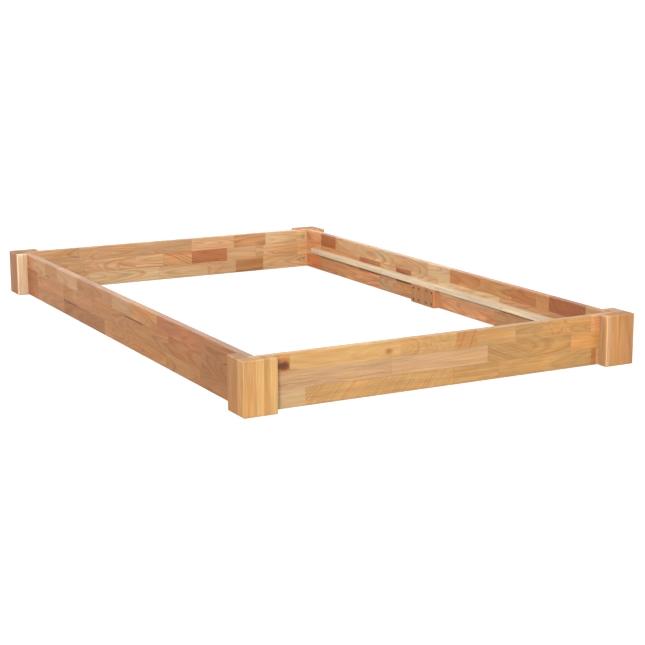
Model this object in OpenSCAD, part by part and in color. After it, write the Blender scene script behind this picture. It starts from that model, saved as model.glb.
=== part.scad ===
// Low wooden bed frame for a 120 x 200 cm mattress: four corner posts that wrap the corners,
// two one-piece end rails, two side rails that are each spliced from a front and a back half,
// and softwood ledgers along the inside of the side rails that carry a slatted base.
// +Z is up, +Y runs towards the back end, and the origin lies on the floor under the middle
// of the frame. Every corner is drawn once, for +X and +Y, and mirrored to the other three.

/* [Opening] */
// Clear length between the end rails
inner_length = 2010; // [1880:10:2110]
// Clear width between the side rails
inner_width = 1210; // [780:10:1810]

/* [Posts] */
// Side of the square that a post's outline fits in
post_side = 105; // [98:1:130]
// Height of a post
post_height = 160; // [150:1:200]
// Thickness of each leg of a post's L
leg_thickness = 38; // [34:1:45]
// Width of the chamfer along a post's outer edges
post_arris = 2; // [1:0.5:3]

/* [Rails] */
// Thickness of the end rails and side rails
rail_thickness = 25; // [22:1:28]
// Gap between the floor and the underside of a rail
rail_gap = 2; // [1:1:4]
// How far the top of a rail lies below the top of a post
rail_drop = 2; // [1:1:4]
// Width of the chamfer along a rail's edges
rail_arris = 1.5; // [0.5:0.5:2]
// How far behind the middle the joint between a side rail's halves lies
joint_offset = 38; // [30:1:44]

/* [Splice blocks] */
// Length of the block that bridges a side rail's joint
splice_length = 160; // [150:2:180]
// Thickness of the block
splice_thickness = 22; // [20:1:24]
// Spacing of the block's inner screw columns, centred on the joint
splice_inner_pitch = 52; // [46:2:56]
// Spacing of the block's outer screw columns, centred on the joint
splice_outer_pitch = 124; // [116:2:130]
// Distance of the screw rows from the block's lower and upper edge
splice_row_inset = 13; // [10:1:16]

/* [Ledgers] */
// Width of a ledger, across the bed
ledger_width = 20; // [18:1:30]
// Height of a ledger
ledger_height = 20; // [18:1:30]
// Height of a ledger's underside above the floor
ledger_bottom = 70; // [62:1:80]
// Gap between a ledger's outer end and the end rail
ledger_end_gap = 76; // [70:1:90]
// Gap between a side's front ledger and back ledger
ledger_joint_gap = 1; // [0.5:0.5:2]
// How far in front of the middle the two ledgers of a side meet
ledger_joint_offset = 37; // [34:1:44]

/* [Corner fittings] */
// Distance of the bolts from the inner corner of the rails
bolt_inset = 20; // [17:1:23]
// Distance of the bolts from the upper and lower edge of a rail
bolt_edge = 29; // [24:1:34]
// Diameter of a bolt's shank
bolt_d = 6; // [5:0.5:8]
// Length of a bolt under its head
bolt_length = 40; // [38:1:42]
// Diameter of a bolt's head
bolt_head_d = 11; // [10:0.5:13]
// Height of a bolt's head
bolt_head_h = 5.5; // [4:0.5:6]
// Width across flats of the hexagon socket in the head
bolt_socket = 5; // [4:0.5:6]
// Diameter of the washer under a bolt's head
washer_d = 16; // [15:0.5:16.5]
// Thickness of the washer
washer_t = 1.5; // [1:0.5:2]
// Diameter of the round recess in the rail that takes head and washer
recess_d = 17; // [17:0.5:19]
// Depth of the recess
recess_depth = 9; // [8:1:12]
// Outer diameter of the threaded insert in the post
insert_d = 10; // [10:0.5:12]
// Length of the threaded insert
insert_length = 20; // [16:1:22]

/* [Screws and dowels] */
// Diameter of a ledger screw's shank
ledger_screw_d = 4; // [3.5:0.5:5]
// Length of a ledger screw
ledger_screw_length = 40; // [36:1:42]
// Diameter of a splice screw's shank
splice_screw_d = 4.5; // [4:0.5:5]
// Length of a splice screw under its head
splice_screw_length = 35; // [32:1:36]
// Diameter of the dowels in a side rail's joint
dowel_d = 8; // [6:1:10]
// Length of the dowels
dowel_length = 40; // [36:2:46]

/* [Hidden] */
$fn = 64;

// Planes of the rails and posts, measured from the middle
inner_x = inner_width / 2;
inner_y = inner_length / 2;
rail_x = inner_x + rail_thickness;
rail_y = inner_y + rail_thickness;
outer_x = rail_x + leg_thickness;
outer_y = rail_y + leg_thickness;
rail_bottom = rail_gap;
rail_top = post_height - rail_drop;

// Colours
post_colour = [0.87, 0.67, 0.43];
rail_colour = [0.80, 0.58, 0.38];
ledger_colour = [0.88, 0.80, 0.62];
block_colour = [0.70, 0.47, 0.34];
dowel_colour = [0.82, 0.68, 0.50];
brass_colour = [0.72, 0.62, 0.32];
screw_colour = [0.45, 0.36, 0.24];

// Corner bolts, measured from the rail's inner face into the post
bolt_heights = [rail_bottom + bolt_edge, rail_top - bolt_edge];
washer_start = recess_depth - washer_t;
head_start = washer_start - bolt_head_h;
socket_depth = 0.6 * bolt_head_h;
head_rim = 0.8;
insert_start = rail_thickness + 0.5;
insert_hole_depth = washer_start + bolt_length + 3;
shank_clearance = 0.5;
thread_clearance = 0.05;

// Splice block, its screws and the dowels behind it
splice_height = ledger_bottom - rail_bottom;
splice_columns = [
    for (pitch = [splice_inner_pitch, splice_outer_pitch], side = [-1, 1])
        joint_offset + side * pitch / 2
];
splice_rows = [rail_bottom + splice_row_inset, ledger_bottom - splice_row_inset];
splice_recess_d = 10;
splice_recess_depth = 4;
splice_head_d = 8.5;
splice_head_h = 3;
dowel_heights = [rail_bottom + 0.25 * (rail_top - rail_bottom),
                 rail_bottom + 0.75 * (rail_top - rail_bottom)];
dowel_end_gap = 1;

// Ledgers run from start to end along Y, and screws sit at these places along them
ledger_front_start = -(inner_y - ledger_end_gap);
ledger_front_end = -ledger_joint_offset - ledger_joint_gap / 2;
ledger_back_start = -ledger_joint_offset + ledger_joint_gap / 2;
ledger_back_end = inner_y - ledger_end_gap;
screw_end_inset = 50;
screw_joint_inset = 25;
front_screw_count = 5;
back_screw_count = 6;
front_screws = spread(ledger_front_start + screw_end_inset,
                      ledger_front_end - screw_joint_inset, front_screw_count);
back_screws = spread(ledger_back_start + screw_joint_inset,
                     ledger_back_end - screw_end_inset, back_screw_count);
cross_width = 1.1;
cross_depth = 2;

// Even places from first to last
function spread(first, last, count) =
    [for (i = [0 : count - 1]) first + (last - first) * i / (count - 1)];

// ---- shapes that repeat ----

// A rectangle with its corners cut at 45 degrees, centred on the origin
module chamfered_rectangle(x, y, cut) {
    polygon([
        [-x / 2 + cut, -y / 2], [x / 2 - cut, -y / 2],
        [x / 2, -y / 2 + cut], [x / 2, y / 2 - cut],
        [x / 2 - cut, y / 2], [-x / 2 + cut, y / 2],
        [-x / 2, y / 2 - cut], [-x / 2, -y / 2 + cut]
    ]);
}

// A box from the low corner to the high corner, with every edge chamfered
module chamfered_box(low, high, cut) {
    size = high - low;
    translate((low + high) / 2)
        intersection() {
            linear_extrude(size.z, center = true)
                chamfered_rectangle(size.x, size.y, cut);
            rotate([90, 0, 0])
                linear_extrude(size.y, center = true)
                    chamfered_rectangle(size.x, size.z, cut);
            rotate([90, 0, 90])
                linear_extrude(size.x, center = true)
                    chamfered_rectangle(size.y, size.z, cut);
        }
}

// A board from the low corner to the high corner, with its four long edges chamfered
module board(low, high, cut, along_x = false) {
    size = high - low;
    translate((low + high) / 2)
        if (along_x)
            rotate([90, 0, 90])
                linear_extrude(size.x, center = true)
                    chamfered_rectangle(size.y, size.z, cut);
        else
            rotate([90, 0, 0])
                linear_extrude(size.y, center = true)
                    chamfered_rectangle(size.x, size.z, cut);
}

// Mirrors what is drawn at +X and +Y to the side and end with these signs
module at_corner(side, end) {
    mirror([side < 0 ? 1 : 0, 0, 0])
        mirror([0, end < 0 ? 1 : 0, 0])
            children();
}

// Places children at a corner's bolts: the origin on the rail's inner face, +Z into the post
module end_rail_bolts() {
    for (z = bolt_heights)
        translate([inner_x - bolt_inset, inner_y, z])
            rotate([-90, 0, 0])
                children();
}

module side_rail_bolts() {
    for (z = bolt_heights)
        translate([inner_x, inner_y - bolt_inset, z])
            rotate([0, 90, 0])
                children();
}

module corner_bolts() {
    end_rail_bolts() children();
    side_rail_bolts() children();
}

// Places children at the splice screws of the +X side: +Z from the block into the rail
module splice_screw_places() {
    for (y = splice_columns, z = splice_rows)
        translate([inner_x - splice_thickness, y, z])
            rotate([0, 90, 0])
                children();
}

// Places children at ledger screws of the +X side: +Z from the ledger into the rail
module ledger_screw_places(places) {
    for (y = places)
        translate([inner_x - ledger_width, y, ledger_bottom + ledger_height / 2])
            rotate([0, 90, 0])
                children();
}

// Places children at the dowels of the +X side: +Z along the rail, centred on the joint
module dowel_places() {
    for (z = dowel_heights)
        translate([inner_x + rail_thickness / 2, joint_offset, z])
            rotate([-90, 0, 0])
                children();
}

// Recess and clearance hole that a rail has for one corner bolt
module bolt_hole() {
    translate([0, 0, -1]) cylinder(d = recess_d, h = recess_depth + 1);
    cylinder(d = bolt_d + 2 * shank_clearance, h = rail_thickness + 1);
}

// Blind hole that a post has for one threaded insert, widened at its mouth
module insert_hole() {
    translate([0, 0, rail_thickness - 1]) cylinder(d = insert_d, h = insert_length + 1.5);
    cylinder(d = bolt_d + 2 * shank_clearance, h = insert_hole_depth);
}

// Outline of a countersunk ledger screw, which is also the hole that it cuts
module ledger_screw_outline() {
    cylinder(d1 = 2 * ledger_screw_d, d2 = ledger_screw_d, h = ledger_screw_d / 2);
    cylinder(d = ledger_screw_d, h = ledger_screw_length - ledger_screw_d);
    translate([0, 0, ledger_screw_length - ledger_screw_d])
        cylinder(d1 = ledger_screw_d, d2 = 0.5, h = ledger_screw_d);
}

// Outline of a splice screw, head included
module splice_screw_outline() {
    translate([0, 0, splice_recess_depth - splice_head_h])
        cylinder(d = splice_head_d, h = splice_head_h);
    translate([0, 0, splice_recess_depth])
        cylinder(d = splice_screw_d, h = splice_screw_length - splice_screw_d);
    translate([0, 0, splice_recess_depth + splice_screw_length - splice_screw_d])
        cylinder(d1 = splice_screw_d, d2 = 0.5, h = splice_screw_d);
}

// Hole that a splice screw sits in: its own outline and the recess around its head
module splice_hole() {
    translate([0, 0, -1]) cylinder(d = splice_recess_d, h = splice_recess_depth + 1);
    splice_screw_outline();
}

// Cross recess in the top of a screw's head
module cross_recess(width) {
    for (turn = [0, 90])
        rotate([0, 0, turn])
            translate([-width / 2, -cross_width / 2, -1])
                cube([width, cross_width, cross_depth + 1]);
}

// ---- posts and rails ----

// L-shaped corner post, open to the inside, with blind holes for its inserts
module post() {
    low_x = outer_x - post_side;
    low_y = outer_y - post_side;
    difference() {
        chamfered_box([low_x, low_y, 0], [outer_x, outer_y, post_height], post_arris);
        translate([low_x - 1, low_y - 1, -1])
            cube([rail_x - low_x + 1, rail_y - low_y + 1, post_height + 2]);
        corner_bolts() insert_hole();
    }
}

// End rail: it runs between the side legs of two posts
module end_rail() {
    difference() {
        board([-rail_x, inner_y, rail_bottom], [rail_x, rail_y, rail_top], rail_arris, along_x = true);
        for (side = [-1, 1])
            at_corner(side, 1) end_rail_bolts() bolt_hole();
    }
}

// Part of the +X side rail from start to end, drilled for all its fittings
module side_rail(start, end) {
    difference() {
        board([inner_x, start, rail_bottom], [rail_x, end, rail_top], rail_arris);
        for (end_sign = [-1, 1])
            at_corner(1, end_sign) side_rail_bolts() bolt_hole();
        splice_screw_places() splice_screw_outline();
        ledger_screw_places(concat(front_screws, back_screws)) ledger_screw_outline();
        dowel_places()
            cylinder(d = dowel_d, h = dowel_length + 2 * dowel_end_gap, center = true);
    }
}

// Block that bridges the joint under the ledger
module splice_block() {
    low = [inner_x - splice_thickness, joint_offset - splice_length / 2, rail_bottom];
    high = [inner_x, joint_offset + splice_length / 2, ledger_bottom];
    difference() {
        chamfered_box(low, high, rail_arris / 2);
        splice_screw_places() splice_hole();
    }
}

// Ledger from start to end, screwed at the given places
module ledger(start, end, places) {
    low = [inner_x - ledger_width, start, ledger_bottom];
    high = [inner_x, end, ledger_bottom + ledger_height];
    difference() {
        chamfered_box(low, high, rail_arris / 2);
        ledger_screw_places(places) ledger_screw_outline();
    }
}

// ---- fittings ----

// Socket-head bolt with a chamfered rim
module bolt() {
    difference() {
        union() {
            translate([0, 0, head_start])
                cylinder(d1 = bolt_head_d - 2 * head_rim, d2 = bolt_head_d, h = head_rim);
            translate([0, 0, head_start + head_rim])
                cylinder(d = bolt_head_d, h = bolt_head_h - head_rim);
            translate([0, 0, washer_start]) cylinder(d = bolt_d, h = bolt_length);
        }
        translate([0, 0, head_start - 1])
            cylinder(d = bolt_socket / cos(30), h = socket_depth + 1, $fn = 6);
    }
}

module washer() {
    translate([0, 0, washer_start])
        difference() {
            cylinder(d = washer_d, h = washer_t);
            translate([0, 0, -1])
                cylinder(d = bolt_d + 2 * shank_clearance, h = washer_t + 2);
        }
}

module insert() {
    translate([0, 0, insert_start])
        difference() {
            cylinder(d = insert_d, h = insert_length);
            translate([0, 0, -1])
                cylinder(d = bolt_d + 2 * thread_clearance, h = insert_length + 2);
        }
}

module ledger_screw() {
    difference() {
        ledger_screw_outline();
        cross_recess(1.1 * ledger_screw_d);
    }
}

module splice_screw() {
    difference() {
        splice_screw_outline();
        translate([0, 0, splice_recess_depth - splice_head_h])
            cross_recess(splice_screw_d);
    }
}

// Dowel with chamfered ends, centred on the joint
module dowel() {
    end = dowel_d / 8;
    for (turn = [0, 180])
        rotate([turn, 0, 0]) {
            cylinder(d = dowel_d, h = dowel_length / 2 - end);
            translate([0, 0, dowel_length / 2 - end])
                cylinder(d1 = dowel_d, d2 = dowel_d - 2 * end, h = end);
        }
}

// ---- sub-parts, by place: side -1 is left and 1 is right, end -1 is front and 1 is back ----

module corner_post(side, end) { color(post_colour) at_corner(side, end) post(); }
module bed_end_rail(end) { color(rail_colour) at_corner(1, end) end_rail(); }
module front_side_rail(side) {
    color(rail_colour) at_corner(side, 1) side_rail(-inner_y, joint_offset);
}
module back_side_rail(side) {
    color(rail_colour) at_corner(side, 1) side_rail(joint_offset, inner_y);
}
module joint_block(side) { color(block_colour) at_corner(side, 1) splice_block(); }
module front_ledger(side) {
    color(ledger_colour) at_corner(side, 1)
        ledger(ledger_front_start, ledger_front_end, front_screws);
}
module back_ledger(side) {
    color(ledger_colour) at_corner(side, 1)
        ledger(ledger_back_start, ledger_back_end, back_screws);
}
module bolts(side, end) { color(brass_colour) at_corner(side, end) corner_bolts() bolt(); }
module washers(side, end) { color(brass_colour) at_corner(side, end) corner_bolts() washer(); }
module inserts(side, end) { color(brass_colour) at_corner(side, end) corner_bolts() insert(); }
module dowels(side) { color(dowel_colour) at_corner(side, 1) dowel_places() dowel(); }
module splice_screws(side) {
    color(screw_colour) at_corner(side, 1) splice_screw_places() splice_screw();
}
module ledger_screws(side, places) {
    color(screw_colour) at_corner(side, 1) ledger_screw_places(places) ledger_screw();
}

corner_post(-1, -1);  // post_front_left
corner_post(1, -1);  // post_front_right
corner_post(-1, 1);  // post_back_left
corner_post(1, 1);  // post_back_right
bed_end_rail(-1);  // end_rail_front
bed_end_rail(1);  // end_rail_back
front_side_rail(-1);  // side_rail_left_front
back_side_rail(-1);  // side_rail_left_back
front_side_rail(1);  // side_rail_right_front
back_side_rail(1);  // side_rail_right_back
joint_block(-1);  // splice_block_left
joint_block(1);  // splice_block_right
front_ledger(-1);  // ledger_left_front
back_ledger(-1);  // ledger_left_back
front_ledger(1);  // ledger_right_front
back_ledger(1);  // ledger_right_back
bolts(-1, -1);  // bolts_front_left
bolts(1, -1);  // bolts_front_right
bolts(-1, 1);  // bolts_back_left
bolts(1, 1);  // bolts_back_right
washers(-1, -1);  // washers_front_left
washers(1, -1);  // washers_front_right
washers(-1, 1);  // washers_back_left
washers(1, 1);  // washers_back_right
inserts(-1, -1);  // inserts_front_left
inserts(1, -1);  // inserts_front_right
inserts(-1, 1);  // inserts_back_left
inserts(1, 1);  // inserts_back_right
dowels(-1);  // dowels_left
dowels(1);  // dowels_right
splice_screws(-1);  // splice_screws_left
splice_screws(1);  // splice_screws_right
ledger_screws(-1, front_screws);  // ledger_screws_left_front
ledger_screws(-1, back_screws);  // ledger_screws_left_back
ledger_screws(1, front_screws);  // ledger_screws_right_front
ledger_screws(1, back_screws);  // ledger_screws_right_back
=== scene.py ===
import math
import random

import bmesh
import bpy
from mathutils import Matrix, Vector


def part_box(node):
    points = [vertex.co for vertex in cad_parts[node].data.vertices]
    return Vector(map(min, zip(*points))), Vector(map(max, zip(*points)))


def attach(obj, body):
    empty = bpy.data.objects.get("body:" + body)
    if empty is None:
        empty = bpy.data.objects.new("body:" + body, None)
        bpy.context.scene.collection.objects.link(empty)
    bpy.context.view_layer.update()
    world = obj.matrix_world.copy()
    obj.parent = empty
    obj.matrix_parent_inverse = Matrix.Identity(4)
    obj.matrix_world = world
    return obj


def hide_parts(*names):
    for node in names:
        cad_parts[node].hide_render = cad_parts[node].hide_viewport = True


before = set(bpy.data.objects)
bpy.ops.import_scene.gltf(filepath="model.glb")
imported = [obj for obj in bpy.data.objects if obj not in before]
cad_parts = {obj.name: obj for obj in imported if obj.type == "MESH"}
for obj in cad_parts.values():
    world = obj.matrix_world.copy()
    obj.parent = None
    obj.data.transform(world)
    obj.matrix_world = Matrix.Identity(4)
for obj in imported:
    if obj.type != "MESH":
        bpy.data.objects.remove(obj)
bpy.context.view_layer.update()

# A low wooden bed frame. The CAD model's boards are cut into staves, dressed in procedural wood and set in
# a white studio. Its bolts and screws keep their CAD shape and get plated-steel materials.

MM = 0.001
X, Y, Z = 0, 1, 2

# ---------------------------------------------------------------- camera, lights and stage

LENS = 85.64
SENSOR = 36
CAMERA_REACH = 100
CAMERA_SPOT = Vector((-2.366, -4.714, 1.115))
CAMERA_YAW = math.radians(28.03)
CAMERA_PITCH = math.radians(11.92)
CAMERA_ROLL = math.radians(-0.25)
# the light tent: how far up the sky its walls fade into its ceiling, and how bright each is
WALL_TOP = 0.1
CEILING_EDGE = 0.27
WALL_GLOW = 3.0
CEILING_GLOW = 0.35
FLOOR_REACH = 30
FLOOR_DROP = 0.5 * MM
FLOOR_GREY = 0.36
FLOOR_GLOW = 0.85
WHITE = (1, 1, 1, 1)


def make_camera():
    """Looks down at the bed from beyond its front left corner, about a metre above the rails."""
    data = bpy.data.cameras.new("camera")
    data.lens = LENS
    data.sensor_width = SENSOR
    data.clip_end = CAMERA_REACH
    camera = bpy.data.objects.new("camera", data)
    bpy.context.scene.collection.objects.link(camera)
    level = Matrix.Rotation(math.pi / 2 - CAMERA_PITCH, 4, "X")
    roll = Matrix.Rotation(CAMERA_ROLL, 4, "Z")
    turn = Matrix.Rotation(-CAMERA_YAW, 4, "Z")
    camera.matrix_world = Matrix.Translation(CAMERA_SPOT) @ turn @ level @ roll
    bpy.context.scene.camera = camera


def make_world():
    """A light tent: white walls round the bed and a softer ceiling."""
    world = bpy.data.worlds.new("studio")
    bpy.context.scene.world = world
    world.use_nodes = True
    tree = world.node_tree
    place = tree.nodes.new("ShaderNodeTexCoord")
    height = tree.nodes.new("ShaderNodeSeparateXYZ")
    fade = tree.nodes.new("ShaderNodeMapRange")
    fade.interpolation_type = "SMOOTHSTEP"
    for socket, value in zip(fade.inputs[1:], (WALL_TOP, CEILING_EDGE, WALL_GLOW, CEILING_GLOW)):
        socket.default_value = value
    background = tree.nodes["Background"].inputs
    tree.links.new(place.outputs["Generated"], height.inputs[0])
    tree.links.new(height.outputs["Z"], fade.inputs[0])
    tree.links.new(fade.outputs[0], background["Strength"])
    background["Color"].default_value = WHITE


def make_sun(name, towards, strength, softness, sheen_only=False):
    """A distant light that shines along `towards`. Its softness is its angular size in degrees."""
    data = bpy.data.lights.new(name, "SUN")
    data.energy = strength
    data.angle = math.radians(softness)
    sun = bpy.data.objects.new(name, data)
    bpy.context.scene.collection.objects.link(sun)
    sun.rotation_mode = "QUATERNION"
    sun.rotation_quaternion = Vector(towards).to_track_quat("-Z", "Y")
    sun.visible_diffuse = not sheen_only


def make_floor():
    """A pale floor, bright enough to melt into the studio's white. Its glow lights nothing but itself."""
    bm = bmesh.new()
    bmesh.ops.create_grid(bm, x_segments=4, y_segments=4, size=FLOOR_REACH)
    mesh = bpy.data.meshes.new("floor")
    bm.to_mesh(mesh)
    bm.free()
    floor = bpy.data.objects.new("floor", mesh)
    bpy.context.scene.collection.objects.link(floor)
    floor.location.z = -FLOOR_DROP
    material = bpy.data.materials.new("pale_floor")
    material.use_nodes = True
    sockets = material.node_tree.nodes["Principled BSDF"].inputs
    sockets["Base Color"].default_value = (FLOOR_GREY, FLOOR_GREY, FLOOR_GREY, 1)
    sockets["Roughness"].default_value = 0.9
    sockets["Specular IOR Level"].default_value = 0.0
    sockets["Emission Color"].default_value = WHITE
    sockets["Emission Strength"].default_value = FLOOR_GLOW
    mesh.materials.append(material)
    glow = bpy.data.collections.new("lit_by_floor")
    glow.objects.link(floor)
    floor.light_linking.receiver_collection = glow


# ---------------------------------------------------------------- node graphs


class Graph:
    """Short calls that add and wire one material's nodes."""

    def __init__(self, name):
        self.material = bpy.data.materials.new(name)
        self.material.use_nodes = True
        self.tree = self.material.node_tree
        self.shader = self.tree.nodes["Principled BSDF"]

    def add(self, kind, **settings):
        node = self.tree.nodes.new(kind)
        for key, value in settings.items():
            setattr(node, key, value)
        return node

    def put(self, socket, value):
        """Wires a socket to another one, or sets it to a plain value."""
        if isinstance(value, bpy.types.NodeSocket):
            self.tree.links.new(value, socket)
        else:
            socket.default_value = value

    def math(self, operation, *values):
        node = self.add("ShaderNodeMath", operation=operation)
        for socket, value in zip(node.inputs, values):
            self.put(socket, value)
        return node.outputs[0]

    def vector(self, operation, *values):
        node = self.add("ShaderNodeVectorMath", operation=operation)
        for socket, value in zip(node.inputs, values):
            self.put(socket, value)
        return node.outputs[0]

    def scaled(self, vector, factor):
        node = self.add("ShaderNodeVectorMath", operation="SCALE")
        self.put(node.inputs["Vector"], vector)
        self.put(node.inputs["Scale"], factor)
        return node.outputs[0]

    def attribute(self, name):
        return self.add("ShaderNodeAttribute", attribute_name=name).outputs["Vector"]

    def split(self, vector):
        node = self.add("ShaderNodeSeparateXYZ")
        self.put(node.inputs[0], vector)
        return node.outputs

    def noise(self, vector, scale=1.0, detail=2.0, roughness=0.5, output="Fac"):
        node = self.add("ShaderNodeTexNoise")
        self.put(node.inputs["Vector"], vector)
        node.inputs["Scale"].default_value = scale
        node.inputs["Detail"].default_value = detail
        node.inputs["Roughness"].default_value = roughness
        return node.outputs[output]

    def step(self, value, low, high, out_low=0.0, out_high=1.0):
        """A smooth step of value, from out_low at low to out_high at high."""
        node = self.add("ShaderNodeMapRange", interpolation_type="SMOOTHSTEP")
        for socket, item in zip(node.inputs, (value, low, high, out_low, out_high)):
            self.put(socket, item)
        return node.outputs[0]

    def ramp(self, value, stops):
        """A curve of grey levels through the (place, level) stops."""
        node = self.add("ShaderNodeValToRGB")
        points = node.color_ramp.elements
        while len(points) < len(stops):
            points.new(1)
        for point, (place, level) in zip(points, stops):
            point.position = place
            point.color = (level, level, level, 1)
        self.put(node.inputs[0], value)
        return node.outputs[0]

    def mix(self, factor, low, high):
        """A colour between low and high. The node's colour sockets are inputs 6 and 7 and output 2."""
        node = self.add("ShaderNodeMix", data_type="RGBA")
        self.put(node.inputs["Factor"], factor)
        self.put(node.inputs[6], low)
        self.put(node.inputs[7], high)
        return node.outputs[2]

    def bump(self, height, distance, strength):
        node = self.add("ShaderNodeBump")
        node.inputs["Strength"].default_value = strength
        node.inputs["Distance"].default_value = distance
        self.put(node.inputs["Height"], height)
        return node.outputs[0]


# ---------------------------------------------------------------- wood

# a tone's share of full brightness, which makes up for the lights' strength
EXPOSED = 0.62
# what late wood, heart wood, sap wood and knots multiply a stave's tone by
LATE_WOOD = (0.66, 0.50, 0.34)
HEART_WOOD = (0.88, 0.66, 0.46)
SAP_WOOD = (1.06, 1.04, 0.92)
KNOT_HALO = (0.80, 0.58, 0.38)
KNOT_CORE = (0.36, 0.16, 0.08)
# the darkness of a growth ring from its inner edge (0) to its outer one (1)
RING_PROFILE = ((0.0, 0.55), (0.12, 0.05), (0.5, 0.22), (0.86, 1.0), (1.0, 0.55))
PALEST_RING = 0.2
# a knot is drawn out along the grain and ragged, and the rings bulge round it, less and less with distance
KNOT_SQUEEZE = 0.7
KNOT_RAGGED = 0.9
KNOT_BULGE = 1.6
KNOT_FADE = 0.35
# how far, in mm, a glue line reaches into a stave
GLUE_WIDTH = 0.7
RELIEF = 0.1 * MM
WOOD_SHINE = 0.45
TONES = {
    "cream": (230, 190, 140),
    "pale": (245, 220, 185),
    "ivory": (255, 220, 180),
    "wheat": (245, 195, 140),
    "butter": (235, 185, 115),
    "sand": (220, 175, 125),
    "straw": (215, 165, 100),
    "honey": (205, 155, 90),
    "gold": (215, 160, 90),
    "peach": (225, 175, 125),
    "apricot": (220, 160, 105),
    "amber": (210, 150, 85),
    "blush": (210, 160, 110),
    "coral": (245, 175, 120),
    "sun": (230, 165, 90),
    "rose": (205, 145, 90),
    "fawn": (200, 140, 80),
    "clay": (185, 125, 70),
    "orange": (215, 145, 80),
    "ember": (205, 130, 70),
    "russet": (190, 120, 70),
    "rust": (180, 105, 55),
    "cocoa": (140, 70, 40),
    "maize": (220, 165, 100),
    "oat": (210, 175, 130),
    "ecru": (240, 205, 155),
    "tawny": (245, 155, 95),
}


def linear(colour):
    """A screen colour from 0 to 255 as the linear light that shaders use."""
    return [((c / 255 + 0.055) / 1.055) ** 2.4 if c > 10 else c / 255 / 12.92 for c in colour]


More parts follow.
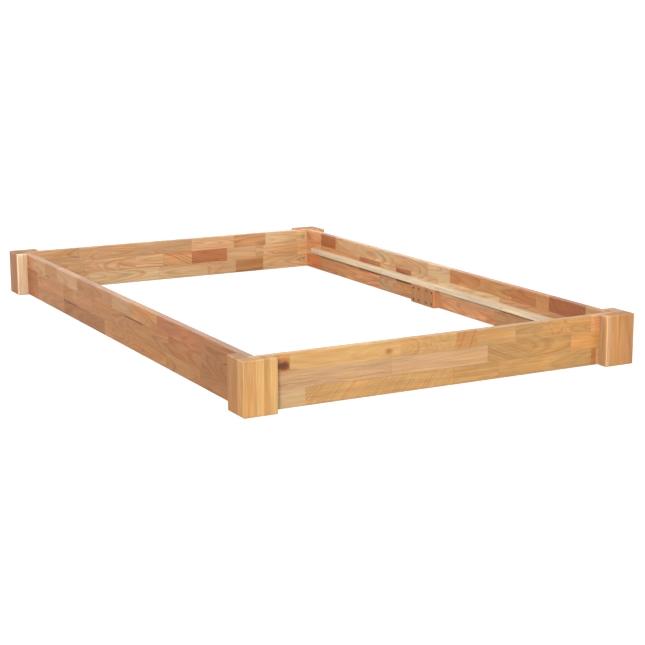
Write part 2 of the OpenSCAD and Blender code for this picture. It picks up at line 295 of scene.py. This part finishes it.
class Wood(Graph):
    """Solid wood with growth rings, fibres, pores, knots, glue lines and end grain.
    It reads each stave's own numbers, in millimetres, from the mesh attributes that paint() writes."""

    def __init__(self, name, late, heart, gloss=0.42, wear_and_highlight=0.3):
        super().__init__(name)
        self.late, self.heart, self.gloss, self.wear_and_highlight = late, heart, gloss, wear_and_highlight
        self.grain = self.attribute("grain")
        self.shift = self.attribute("shift")
        self.tint = self.attribute("tint")
        self.end = self.add("ShaderNodeAttribute", attribute_name="end").outputs["Fac"]
        self.worn = self.add("ShaderNodeAttribute", attribute_name="worn").outputs["Fac"]
        self.find_knot()
        self.grow_rings()
        self.draw_fibres()
        self.find_glue()
        self.finish(self.stain())

    def fine(self, along, across, detail=2.0, roughness=0.5, output="Fac"):
        """Noise drawn out along the grain; along and across are its scales per millimetre."""
        spread = self.vector("MULTIPLY_ADD", self.grain, (along, across, across), self.shift)
        return self.noise(spread, detail=detail, roughness=roughness, output=output)

    def length(self, x, y):
        return self.math("SQRT", self.math("MULTIPLY_ADD", x, x, self.math("MULTIPLY", y, y)))

    def find_knot(self):
        """How far each point lies from the stave's knot, in knot sizes. A size below zero is a swirl."""
        along, across, size = self.split(self.attribute("knot"))
        here = self.split(self.grain)
        x = self.math("MULTIPLY", self.math("SUBTRACT", here[0], along), KNOT_SQUEEZE)
        y = self.math("SUBTRACT", here[1], across)
        self.knot_size = self.math("ABSOLUTE", size)
        self.is_knot = self.math("GREATER_THAN", size, 0.0)
        ragged = self.math("SUBTRACT", self.fine(along=0.06, across=0.09, detail=3), 0.5)
        self.knot_near = self.math("DIVIDE", self.length(x, y), self.knot_size)
        self.knot_near = self.math("MULTIPLY_ADD", ragged, KNOT_RAGGED, self.knot_near)

    def grow_rings(self):
        """Rings round a pith line that may lean away from the stave and wander."""
        along, across, depth = self.split(self.grain)
        pith_across, pith_depth, ring = self.split(self.attribute("pith"))
        tilt_across, tilt_depth, wave = self.split(self.attribute("lean"))
        warp = self.fine(along=0.006, across=0.016, detail=3, output="Color")
        warp = self.vector("SUBTRACT", warp, (0.5, 0.5, 0.5))
        warp_x, warp_y, _ = self.split(self.scaled(warp, wave))
        pith_x = self.math("MULTIPLY_ADD", along, tilt_across, pith_across)
        pith_y = self.math("MULTIPLY_ADD", along, tilt_depth, pith_depth)
        x = self.math("SUBTRACT", self.math("ADD", across, warp_x), pith_x)
        y = self.math("SUBTRACT", self.math("ADD", depth, warp_y), pith_y)
        distance = self.math("POWER", self.knot_near, 2.0)
        pull = self.math("EXPONENT", self.math("MULTIPLY", distance, -KNOT_FADE))
        bulge = self.math("MULTIPLY", self.knot_size, KNOT_BULGE)
        self.turns = self.math("DIVIDE", self.math("MULTIPLY_ADD", pull, bulge, self.length(x, y)), ring)
        self.phase = self.math("FRACT", self.turns)
        line = self.ramp(self.phase, RING_PROFILE)
        year = self.add("ShaderNodeTexWhiteNoise", noise_dimensions="1D")
        self.seed = self.split(self.shift)[0]
        self.put(year.inputs["W"], self.math("ADD", self.math("FLOOR", self.turns), self.seed))
        year_depth = self.math("MULTIPLY_ADD", year.outputs["Value"], 1 - PALEST_RING, PALEST_RING)
        self.late_line = self.math("MULTIPLY", line, year_depth)

    def draw_fibres(self):
        """Streaks, fine fibres and open pores, all drawn out along the grain."""
        self.bands = self.fine(along=0.004, across=0.06, detail=2)
        self.streaks = self.fine(along=0.009, across=0.2, detail=3)
        self.fibres = self.fine(along=0.03, across=1.3, detail=4, roughness=0.65)
        open_pores = self.step(self.fine(along=0.16, across=2.6, detail=1), 0.6, 0.7)
        self.pores = self.math("MULTIPLY", open_pores, self.step(self.phase, 0.5, 0.2))

    def find_glue(self):
        """The thin line along each stave's edges."""
        gap = self.vector("SUBTRACT", self.attribute("half"), self.vector("ABSOLUTE", self.grain))
        gap_along, gap_across, _ = self.split(gap)
        line = self.step(self.math("MINIMUM", gap_along, gap_across), GLUE_WIDTH, 0.1)
        strength = self.step(self.fine(along=0.012, across=0.004), 0.42, 0.62, out_low=0.3)
        self.glue = self.math("MULTIPLY", line, strength)

    def times(self, colour, factors):
        return self.vector("MULTIPLY", colour, factors)

    def stain(self):
        """The wood's colour: sap, late and heart wood over the stave's tint, then its marks and knot."""
        heart_years = self.add("ShaderNodeTexNoise", noise_dimensions="1D")
        self.put(heart_years.inputs["W"], self.math("MULTIPLY_ADD", self.turns, 0.2, self.seed))
        red = self.math("ADD", heart_years.outputs["Fac"], self.fine(along=0.006, across=0.04))
        red = self.math("MULTIPLY", self.step(red, 0.98, 1.25), self.heart)
        colour = self.mix(self.step(self.bands, 0.52, 0.68), self.tint, self.times(self.tint, SAP_WOOD))
        late = self.math("MULTIPLY", self.late_line, self.late)
        colour = self.mix(late, colour, self.times(colour, LATE_WOOD))
        colour = self.mix(red, colour, self.times(colour, HEART_WOOD))
        light = self.math("MULTIPLY_ADD", self.math("SUBTRACT", self.streaks, 0.5), 0.6, 1.0)
        for mark, change in ((self.bands, 0.5), (self.fibres, 0.4)):
            light = self.math("MULTIPLY", light, self.math("MULTIPLY_ADD", mark, change, 1 - change / 2))
        # rounded edges are lightened: a painted highlight along the arris, partly rubbed wood too
        marks = ((self.pores, -0.35), (self.glue, -0.3), (self.end, -0.12), (self.worn, self.wear_and_highlight))
        for mark, change in marks:
            light = self.math("MULTIPLY", light, self.math("MULTIPLY_ADD", mark, change, 1.0))
        return self.stain_knot(self.scaled(colour, light))

    def stain_knot(self, colour):
        """A reddish halo and, in a large knot, a dark core with fine rings of its own."""
        halo = self.math("MULTIPLY", self.step(self.knot_near, 2.0, 1.0), self.is_knot)
        firm = self.math("MULTIPLY", self.step(self.knot_size, 0.0, 14.0), self.is_knot)
        core = self.math("MULTIPLY", self.step(self.knot_near, 1.1, 0.5), firm)
        colour = self.mix(self.math("MULTIPLY", halo, 0.8), colour, self.times(colour, KNOT_HALO))
        rings = self.math("SINE", self.math("MULTIPLY", self.knot_near, 15.0))
        dark = self.math("MULTIPLY_ADD", rings, 0.1, 0.5)
        dark = self.math("MULTIPLY_ADD", self.knot_near, 0.45, dark)
        return self.mix(core, colour, self.scaled(self.times(self.tint, KNOT_CORE), dark))

    def finish(self, colour):
        """An oiled surface: duller on pores and end grain, with a light relief of fibres."""
        dull = self.math("MULTIPLY_ADD", self.math("SUBTRACT", self.streaks, 0.5), 0.2, self.gloss)
        dull = self.math("MULTIPLY_ADD", self.pores, 0.2, dull)
        dull = self.math("MULTIPLY_ADD", self.end, 0.12, dull)
        height = self.math("MULTIPLY_ADD", self.pores, -1.0, self.math("MULTIPLY", self.fibres, 0.3))
        height = self.math("MULTIPLY_ADD", self.late_line, 0.25, height)
        height = self.math("MULTIPLY_ADD", self.glue, -0.8, height)
        self.put(self.shader.inputs["Base Color"], colour)
        self.put(self.shader.inputs["Roughness"], dull)
        self.put(self.shader.inputs["Normal"], self.bump(height, RELIEF, 0.6))
        self.shader.inputs["Specular IOR Level"].default_value = WOOD_SHINE


# ---------------------------------------------------------------- boards cut into staves

WELD = 0.01 * MM
FLAT = math.radians(0.5)
SHARP = math.radians(30)
ROUNDING = 0.6 * MM
CORNER_REACH = 3 * MM
# how squarely a face has to look along an axis: along the grain to be end grain, along any axis to show
# no glue line across it, and along one of them to be no rounded edge, which is painted lighter as a
# highlight along the arris and as rubbed wood
END_FACING = 0.7
GLUE_FACING = 0.3
SQUARE = 0.97
# what is added to half a stave's size, in mm, where it is to show no glue line
FAR = 99
# a tiny knot, far away
NO_KNOT = (9999, 0, 0.001)
# how far above and below a sliver of heartwood the faces are still cut at its ends
SLIVER_MARGIN = 60 * MM
# the thickness of the posts' legs, behind which the end rails are bolted
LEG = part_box("end_rail_front")[0].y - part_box("post_front_left")[0].y


def clean_copy(node):
    """A bmesh of a CAD node, with its triangles merged back into flat faces."""
    bm = bmesh.new()
    bm.from_mesh(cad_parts[node].data)
    bmesh.ops.remove_doubles(bm, verts=bm.verts, dist=WELD)
    bmesh.ops.dissolve_limit(bm, angle_limit=FLAT, verts=bm.verts, edges=bm.edges)
    return bm


def on_corner(edge, levels):
    """Whether an edge lies where two of the board's outer planes meet."""
    middle = (edge.verts[0].co + edge.verts[1].co) / 2
    hits = [min(abs(middle[axis] - at) for at in levels[axis]) < CORNER_REACH for axis in (X, Y, Z)]
    return sum(hits) >= 2


def round_edges(bm, levels):
    """Breaks the board's outer edges to a small radius."""
    edges = [e for e in bm.edges if len(e.link_faces) == 2 and e.calc_face_angle(0) > SHARP]
    edges = [e for e in edges if on_corner(e, levels)]
    bmesh.ops.bevel(
        bm, geom=edges, offset=ROUNDING, segments=2, profile=0.5, affect="EDGES", clamp_overlap=True
    )


def cut(bm, axis, at, across=None, low=0.0, high=0.0):
    """Cuts faces along the plane axis = at: all of them, or those between low and high on `across`."""
    faces = list(bm.faces)
    if across is not None:
        faces = [f for f in faces if low - WELD < f.calc_center_bounds()[across] < high + WELD]
    edges = {e for f in faces for e in f.edges}
    verts = {v for f in faces for v in f.verts}
    point, normal = Vector((0, 0, 0)), Vector((0, 0, 0))
    point[axis] = at
    normal[axis] = 1
    bmesh.ops.bisect_plane(bm, geom=[*faces, *edges, *verts], plane_co=point, plane_no=normal, dist=WELD)


class Stave:
    """One strip of wood in a board: its box in metres, its tone, figure and knot, and its axes along the
    grain, across it and into the board."""

    def __init__(self, low, high, axes, tone, figure, dice, knot=None):
        self.low, self.high = Vector(low), Vector(high)
        self.axes = axes
        self.tone = tone
        self.middle = (self.low + self.high) / 2
        self.half = (self.high - self.low) / 2
        self.shift = Vector(dice.uniform(0, 400) for _ in range(3))
        self.pith, self.lean = FIGURES[figure](dice)
        self.knot = knot or NO_KNOT
        self.shade = dice.uniform(0.95, 1.05)

    def holds(self, point):
        return all(self.low[i] - WELD <= point[i] <= self.high[i] + WELD for i in (X, Y, Z))

    def local(self, point):
        """A point as millimetres along the grain, across it and into the board."""
        return [(point[i] - self.middle[i]) / MM for i in self.axes]


# A figure says how a stave was sawn. It gives the pith, as its place across the stave and into the board
# and the spacing of its rings, and its lean, as its slope across and inwards and how far the rings wander.
# All lengths are in mm.
DISTANT_PITH = 900


def either_side(dice, near, far):
    return dice.choice((-1, 1)) * dice.uniform(near, far)


def plain(dice):
    """A flat-sawn strip: broad arches."""
    pith = (dice.uniform(-16, 16), either_side(dice, 20, 45), dice.uniform(5, 8))
    lean = (dice.uniform(-0.05, 0.05), either_side(dice, 0.04, 0.1), dice.uniform(10, 18))
    return pith, lean


def quarter(spacing, wave):
    """Quarter-sawn strips: close lines along the stave, whose spacing and waver lie in the given ranges."""

    def figure(dice):
        pith = (either_side(dice, 90, 150), dice.uniform(-30, 30), dice.uniform(*spacing))
        lean = (dice.uniform(-0.06, 0.06), dice.uniform(-0.02, 0.02), dice.uniform(*wave))
        return pith, lean

    return figure


def lines(tilt, spacing, wave):
    """Strips whose fibres run out through the face: line after line at a steep angle."""

    def figure(dice):
        pith_across = -DISTANT_PITH if tilt > 0 else DISTANT_PITH
        pith = (pith_across, dice.uniform(20, 40), spacing * dice.uniform(0.9, 1.1))
        lean = (tilt * dice.uniform(0.9, 1.1), 0.02, wave)
        return pith, lean

    return figure


FIGURES = {
    "plain": plain,
    "straight": quarter((3, 6), (6, 14)),
    "ripple": quarter((5, 7), (30, 40)),
    "slant": lines(1.1, 14, 30),
    "fall": lines(-0.45, 13, 24),
    "flame": lines(2.2, 40, 50),
    "curl": lines(2.4, 20, 70),
}


def paint(bm, staves):
    """Gives each face the numbers of the stave that it belongs to, for the wood material to read."""
    names = ("tint", "pith", "lean", "knot", "shift", "half")
    layers = {name: bm.faces.layers.float_vector.new(name) for name in names}
    grain = bm.loops.layers.float_vector.new("grain")
    end = bm.faces.layers.float.new("end")
    worn = bm.faces.layers.float.new("worn")
    bm.normal_update()
    for face in bm.faces:
        centre = face.calc_center_median()
        stave = next((s for s in staves if s.holds(centre)), None)
        if stave is None:
            stave = min(staves, key=lambda s: (s.middle - centre).length)
        tint = [c * stave.shade * EXPOSED for c in linear(TONES[stave.tone])]
        half = [stave.half[i] / MM + (FAR if abs(face.normal[i]) > GLUE_FACING else 0) for i in stave.axes]
        values = (tint, stave.pith, stave.lean, stave.knot, stave.shift, half)
        for name, value in zip(names, values):
            face[layers[name]] = Vector(value)
        face[end] = float(abs(face.normal[stave.axes[0]]) > END_FACING)
        # rounded edges get the mark for a painted highlight along the arris, partly rubbed wood too
        face[worn] = float(max(abs(part) for part in face.normal) < SQUARE)
        for loop in face.loops:
            loop[grain] = Vector(stave.local(loop.vert.co))


def finish_board(bm, node, material):
    """Turns the bmesh into the piece that stands for a CAD node."""
    mesh = bpy.data.meshes.new(node + "_wood")
    bm.to_mesh(mesh)
    bm.free()
    for polygon in mesh.polygons:
        polygon.use_smooth = True
    board = bpy.data.objects.new(node + "_wood", mesh)
    bpy.context.scene.collection.objects.link(board)
    mesh.materials.append(material)
    normals = board.modifiers.new("flat_faces", "WEIGHTED_NORMAL")
    normals.weight = 100
    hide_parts(node)
    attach(board, "root")


def box_levels(node, extra=((), (), ())):
    """Where a board's outer planes lie on each axis: its box, and any extra ones."""
    low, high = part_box(node)
    return [[low[i], high[i], *extra[i]] for i in (X, Y, Z)]


def strips(row, along, step, low, high, axes, dice):
    """The staves of one row, laid along an axis, upwards or downwards as step is 1 or -1. row holds
    (length in mm, tone, figure, knot), and a length of 0 runs to the end."""
    staves = []
    at = (low if step > 0 else high)[along]
    for length, tone, *rest in row:
        figure = rest[0] if rest else "plain"
        knot = rest[1] if len(rest) > 1 else None
        ahead = at + step * length * MM if length else (high if step > 0 else low)[along]
        a, b = Vector(low), Vector(high)
        a[along], b[along] = min(at, ahead), max(at, ahead)
        staves.append(Stave(a, b, axes, tone, figure, dice, knot))
        at = ahead
    return staves


def sliver(bm, low, high, axes, tone, dice):
    """A thin dark streak of heartwood along a seam, between two corners of its own box."""
    along = axes[0]
    for at in (low[along], high[along]):
        cut(bm, along, at, Z, low.z - SLIVER_MARGIN, high.z + SLIVER_MARGIN)
    for at in (low.z, high.z):
        cut(bm, Z, at, along, low[along], high[along])
    return Stave(low, high, axes, tone, "straight", dice)


def rail(node, along, rows, material, step=1, streaks=()):
    """A rail of edge-glued staves, in rows from the bottom up. streaks are (from, to, bottom, top, tone)
    in mm, each a sliver of darker wood."""
    low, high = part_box(node)
    axes = (along, Z, Y if along == X else X)
    dice = random.Random(node)
    heights = [low.z, *[seam * MM for seam in ROW_SEAMS], high.z]
    bm = clean_copy(node)
    round_edges(bm, box_levels(node))
    for at in heights[1:-1]:
        cut(bm, Z, at)
    staves = []
    for index, row in enumerate(rows):
        a, b = Vector(low), Vector(high)
        a.z, b.z = heights[index], heights[index + 1]
        made = strips(row, along, step, a, b, axes, dice)
        for stave in made[1:]:
            at = (stave.low if step > 0 else stave.high)[along]
            cut(bm, along, at, Z, a.z, b.z)
        staves += made
    for start, end, bottom, top, tone in streaks:
        a, b = Vector(low), Vector(high)
        a[along], b[along] = start * MM, end * MM
        a.z, b.z = bottom * MM, top * MM
        staves.insert(0, sliver(bm, a, b, axes, tone, dice))
    paint(bm, staves)
    finish_board(bm, node, material)


def post(node, lamellae, leg_lamellae, material):
    """An L-shaped post of upright lamellae. lamellae are (width in mm, tone, figure) across its broad leg,
    from the corner of the bed inwards, and leg_lamellae are those of its leg along the side rail."""
    low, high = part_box(node)
    left, front = low.x < 0, low.y < 0
    corner = Vector((low.x if left else high.x, low.y if front else high.y, 0))
    inward = Vector((1 if left else -1, 1 if front else -1, 0))
    elbow = corner + inward * LEG
    dice = random.Random(node)
    bm = clean_copy(node)
    round_edges(bm, box_levels(node, ((elbow.x,), (elbow.y,), ())))
    cut(bm, Y, elbow.y)
    staves = []
    for axis, other, row, start in ((X, Y, lamellae, 0), (Y, X, leg_lamellae, LEG)):
        at = start
        deep = sorted((corner[other], elbow[other]))
        for width, tone, *figure in row:
            ahead = at + width * MM if width else high[axis] - low[axis]
            near, far = (corner[axis] + inward[axis] * reach for reach in (at, ahead))
            a, b = Vector(low), Vector(high)
            a[axis], b[axis] = sorted((near, far))
            a[other], b[other] = deep
            figure = figure[0] if figure else "straight"
            staves.append(Stave(a, b, (Z, axis, other), tone, figure, dice))
            if at:
                cut(bm, axis, near, other, *deep)
            at = ahead
    paint(bm, staves)
    finish_board(bm, node, material)


def batten(node, row, material, grain=Y):
    """A strip or block whose grain runs along Y or Z. row lists its staves from the back to the front."""
    low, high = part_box(node)
    axes = (grain, Z if grain == Y else Y, X)
    bm = clean_copy(node)
    round_edges(bm, box_levels(node))
    staves = strips(row, Y, -1, low, high, axes, random.Random(node))
    for stave in staves[1:]:
        cut(bm, Y, stave.high.y)
    paint(bm, staves)
    finish_board(bm, node, material)


# ---------------------------------------------------------------- metal

WORN_FILM = 0.62
GRIT_RELIEF = 0.05 * MM


def metal(name, colour, rough):
    """Plated steel with a mottled, slightly worn film."""
    graph = Graph(name)
    sockets = graph.shader.inputs
    place = graph.add("ShaderNodeTexCoord").outputs["Object"]
    mottle = graph.noise(place, scale=420, detail=4)
    worn = [part * WORN_FILM for part in colour]
    film = graph.mix(graph.step(mottle, 0.35, 0.7), (*colour, 1), (*worn, 1))
    grit = graph.noise(place, scale=2600, detail=2)
    graph.put(sockets["Base Color"], film)
    graph.put(sockets["Roughness"], graph.math("MULTIPLY_ADD", mottle, 0.25, rough))
    graph.put(sockets["Normal"], graph.bump(grit, GRIT_RELIEF, 0.3))
    sockets["Metallic"].default_value = 1.0
    return graph.material


def dress(kinds, material):
    """Gives the CAD nodes of some kinds, which keep their shape, a better material."""
    for node in [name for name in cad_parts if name.startswith(kinds)]:
        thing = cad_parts[node]
        for place in thing.material_slots:
            place.material = material


# ---------------------------------------------------------------- the bed's staves

# Rows run from the bottom of a rail up, and ROW_SEAMS are the heights in mm where they meet. Staves are
# (length in mm, tone, figure, knot). They run from -X to +X, or from the back to the front on the sides.
ROW_SEAMS = (55, 108)
FRONT_ROWS = (
    ((170, "oat", "straight"), (490, "straw", "slant"), (160, "honey"), (345, "honey"), (17, "ember"),
     (0, "peach")),
    ((450, "sand", "ripple"), (330, "sand", "straight"), (150, "honey", "fall"), (155, "honey"),
     (0, "sun")),
    ((122, "maize", "plain", (42, -9, 16)), (358, "butter", "plain", (139, -6, 6)),
     (105, "straw", "plain", (40, 0, -18)), (85, "straw", "plain", (0, 4, -20)), (72, "amber", "flame"),
     (138, "straw", "straight"), (100, "honey"), (90, "gold", "plain", (0, 0, -24)), (90, "gold"),
     (0, "coral")),
)
BACK_ROWS = (
    ((260, "peach"), (300, "cream"), (215, "cream"), (127, "peach"), (126, "rose", "straight"),
     (0, "wheat")),
    ((245, "blush"), (145, "peach"), (70, "peach"), (120, "peach"), (125, "apricot", "fall"),
     (157, "russet", "fall", (60, -30, -30)), (133, "peach"), (35, "peach"), (160, "wheat"), (0, "wheat")),
    ((225, "blush"), (75, "blush"), (160, "blush"), (245, "blush"), (190, "peach"), (145, "apricot"),
     (145, "cream"), (0, "wheat")),
)
LEFT_BACK_ROWS = (
    ((165, "russet"), (305, "rose"), (235, "clay"), (185, "clay"), (0, "rose")),
    ((165, "russet"), (300, "rose"), (105, "fawn"), (195, "rose"), (0, "fawn")),
    ((165, "apricot"), (95, "blush"), (135, "fawn"), (225, "blush"), (185, "fawn"), (0, "rose")),
)
LEFT_BACK_STREAKS = (
    (400, 535, 50, 56, "cocoa"),
    (280, 360, 53, 56, "rust"),
    (690, 735, 108, 114, "rust"),
)
LEFT_FRONT_ROWS = (
    ((188, "fawn"), (280, "fawn"), (260, "fawn"), (0, "clay")),
    ((128, "rose"), (360, "fawn"), (250, "clay"), (0, "clay")),
    ((168, "blush"), (230, "amber"), (370, "russet"), (0, "clay")),
)
LEFT_FRONT_STREAKS = (
    (-240, -80, 102, 107, "cocoa"),
    (-600, -470, 105, 108, "rust"),
    (-960, -860, 104, 109, "cocoa"),
)
# the first stave of each row, by the back right post, takes a brighter tone (tawny, coral): painted light
# that offsets the shade in that corner
RIGHT_BACK_ROWS = (
    ((125, "tawny"), (280, "coral"), (210, "coral"), (130, "peach"), (0, "apricot")),
    ((125, "coral"), (330, "apricot"), (165, "russet"), (120, "peach"), (110, "rust"), (0, "cream")),
    ((130, "coral"), (125, "rust"), (320, "peach"), (155, "cream"), (75, "peach"), (0, "peach")),
)
RIGHT_FRONT_ROWS = (
    ((248, "coral"), (190, "coral"), (240, "apricot"), (0, "gold")),
    ((73, "peach"), (395, "ecru"), (0, "apricot")),
    ((153, "cream"), (195, "orange"), (190, "amber"), (140, "ember"), (72, "amber", "slant"),
     (193, "rust", "slant"), (0, "honey")),
)
# lamellae across each post's broad leg, and those of its leg along the side rail
POSTS = {
    "post_front_left": (((38, "maize"), (25, "butter"), (17, "gold"), (0, "butter")), ((67, "fawn"),)),
    "post_front_right": (((60, "fawn", "plain"), (30, "amber"), (0, "peach")), ((0, "peach"),)),
    # the back left post's last leg lamella is ivory: painted light that lifts its end face out of the shade
    # beside the side rail
    "post_back_left": (((38, "clay"), (0, "honey")), ((56, "clay"), (0, "ivory"))),
    "post_back_right": (((50, "honey"), (0, "orange")), ((0, "honey"),)),
}
SPLICE_BLOCK = ((156, "rose", "curl"), (0, "coral"))
FRONT_LEDGER = ((0, "pale", "straight"),)
BACK_LEDGER = ((590, "pale", "straight"), (0, "pale", "straight"))
DOWEL = ((0, "sand", "straight"),)

# ---------------------------------------------------------------- the bed in its studio

make_camera()
make_world()
make_floor()
make_sun("key", (0.58, 0.79, -0.34), strength=2.54, softness=7)
make_sun("second", (-0.5, 0.85, -0.2), strength=0.6, softness=25)
make_sun("overhead", (0.1, 0.2, -1.0), strength=1.0, softness=40)
make_sun("right_rim", (-1.0, 0.15, -0.4), strength=1.4, softness=30)
make_sun("back_rim", (0.6, -0.9, -0.5), strength=1.4, softness=30)
make_sun("sheen", (-0.46, -0.87, -0.12), strength=0.17, softness=20, sheen_only=True)
bpy.context.scene.view_settings.view_transform = "Standard"

# how much each wood lightens its rounded edges: a painted highlight along the arris, partly rubbed wood
rail_wood = Wood("rail_wood", late=0.8, heart=0.7, wear_and_highlight=0.1).material
front_wood = Wood("front_rail_wood", late=0.66, heart=0.4, wear_and_highlight=0.05).material
post_wood = Wood("post_wood", late=0.4, heart=0.3).material
block_wood = Wood("block_wood", late=0.9, heart=0.6, gloss=0.55).material
ledger_wood = Wood("ledger_wood", late=0.3, heart=0.1, gloss=0.6).material
dowel_wood = Wood("dowel_wood", late=0.3, heart=0.1, gloss=0.6).material
zinc = metal("zinc_steel", (0.85, 0.75, 0.5), rough=0.35)
# near-black screw heads: painted shade that stands for the dark of their recessed holes
recess_shade_steel = metal("recess_shade_steel", (0.09, 0.06, 0.04), rough=0.4)
screw_steel = metal("screw_steel", (0.72, 0.66, 0.52), rough=0.25)

rail("end_rail_front", X, FRONT_ROWS, front_wood)
rail("end_rail_back", X, BACK_ROWS, rail_wood)
rail("side_rail_left_back", Y, LEFT_BACK_ROWS, rail_wood, step=-1, streaks=LEFT_BACK_STREAKS)
rail("side_rail_left_front", Y, LEFT_FRONT_ROWS, rail_wood, step=-1, streaks=LEFT_FRONT_STREAKS)
rail("side_rail_right_back", Y, RIGHT_BACK_ROWS, rail_wood, step=-1)
rail("side_rail_right_front", Y, RIGHT_FRONT_ROWS, rail_wood, step=-1)
for name, (broad_leg, side_leg) in POSTS.items():
    post(name, broad_leg, side_leg, post_wood)
for side in ("left", "right"):
    batten(f"splice_block_{side}", SPLICE_BLOCK, block_wood, grain=Z)
    batten(f"ledger_{side}_front", FRONT_LEDGER, ledger_wood)
    batten(f"ledger_{side}_back", BACK_LEDGER, ledger_wood)
    batten(f"dowels_{side}", DOWEL, dowel_wood)
dress(("bolts", "washers", "inserts"), zinc)
dress("ledger_screws", screw_steel)
# the splice screws are painted near black, as the shade inside their recesses
dress("splice_screws", recess_shade_steel)
